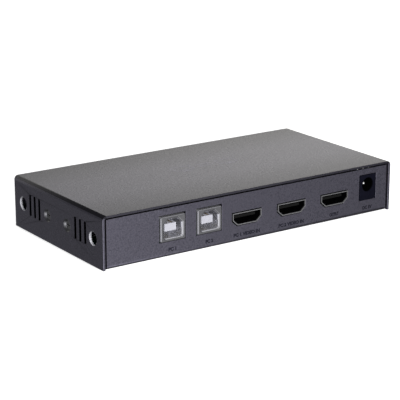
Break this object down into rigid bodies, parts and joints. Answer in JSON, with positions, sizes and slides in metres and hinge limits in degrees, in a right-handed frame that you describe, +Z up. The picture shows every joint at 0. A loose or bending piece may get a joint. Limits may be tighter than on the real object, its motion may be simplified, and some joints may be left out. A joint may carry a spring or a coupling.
{
  "type": "kvm switch",
  "caption": "Flat folded-steel desktop switch box that shares a screen, keyboard and mouse between computers, with rows of sockets at the front and rear and a push button.",
  "frame": {"origin": "middle of the case's footprint on the table, at the underside of the feet", "axes": "+X along the long side towards the USB type B end, +Y out of the rear panel with the computer and power sockets, +Z up"},
  "size_m": [0.148, 0.0748, 0.0239],
  "materials": {
    "cover_paint": "satin powder coat",
    "base_paint": "satin powder coat",
    "dark_steel": "black zinc",
    "foot_rubber": "matte",
    "board_laminate": "solder mask",
    "plated_steel": "zinc plated",
    "socket_steel": "nickel plated",
    "contact_gold": "gold flash",
    "tinned_wire": "tinned",
    "white_plastic": "moulded",
    "black_plastic": "moulded",
    "jack_plastic": "moulded",
    "jack_metal": "nickel plated",
    "button_plastic": "fine texture",
    "led_lens": "diffused epoxy",
    "chip_plastic": "moulded",
    "capacitor_sleeve": "sleeve",
    "ferrite": "sintered",
    "passive_ceramic": "ceramic chips"
  },
  "bodies": {
    "case": {"top_cover": "cover_paint", "base_chassis": "base_paint", "cover_screws": "dark_steel", "main_board": "board_laminate", "board_standoffs": "plated_steel", "board_screws": "plated_steel", "power_jack_body": "jack_plastic", "power_jack_pin": "jack_metal", "power_jack_contacts": "jack_metal", "switch_housing": "black_plastic", "switch_spring": "plated_steel", "switch_terminals": "tinned_wire", "led_1": "led_lens", "led_2": "led_lens", "led_holder_1": "black_plastic", "led_holder_2": "black_plastic", "led_leads": "tinned_wire", "video_switch_chip": "chip_plastic", "video_switch_leads": "tinned_wire", "usb_hub_chip": "chip_plastic", "usb_hub_leads": "tinned_wire", "control_chip": "chip_plastic", "voltage_regulator": "chip_plastic", "crystals": "socket_steel", "filter_capacitors": "capacitor_sleeve", "power_inductor": "ferrite", "small_passives": "passive_ceramic", "rubber_foot_1": "foot_rubber", "usb_a_shell_1": "socket_steel", "usb_a_insulator_1": "black_plastic", "usb_a_contacts_1": "contact_gold", "rubber_foot_2": "foot_rubber", "usb_a_shell_2": "socket_steel", "usb_a_insulator_2": "black_plastic", "usb_a_contacts_2": "contact_gold", "rubber_foot_3": "foot_rubber", "usb_a_shell_3": "socket_steel", "usb_a_insulator_3": "black_plastic", "usb_a_contacts_3": "contact_gold", "rubber_foot_4": "foot_rubber", "usb_a_shell_4": "socket_steel", "usb_a_insulator_4": "black_plastic", "usb_a_contacts_4": "contact_gold", "usb_b_shell_1": "socket_steel", "usb_b_insulator_1": "white_plastic", "usb_b_contacts_1": "contact_gold", "usb_b_shell_2": "socket_steel", "usb_b_insulator_2": "white_plastic", "usb_b_contacts_2": "contact_gold", "video_shell_1": "socket_steel", "video_insulator_1": "black_plastic", "video_contacts_1": "contact_gold", "video_shell_2": "socket_steel", "video_insulator_2": "black_plastic", "video_contacts_2": "contact_gold", "video_shell_3": "socket_steel", "video_insulator_3": "black_plastic", "video_contacts_3": "contact_gold"},
    "button": {"select_button": "button_plastic", "switch_plunger": "white_plastic"}
  },
  "joints": [
    {"name": "select_button_press", "type": "slide", "parent": "case", "child": "button", "axis": [0, 1, 0], "range_m": [0, 0.0015], "stiffness_N_per_m": 800, "springref_m": -0.001, "deforming": ["switch_spring"]}
  ]
}
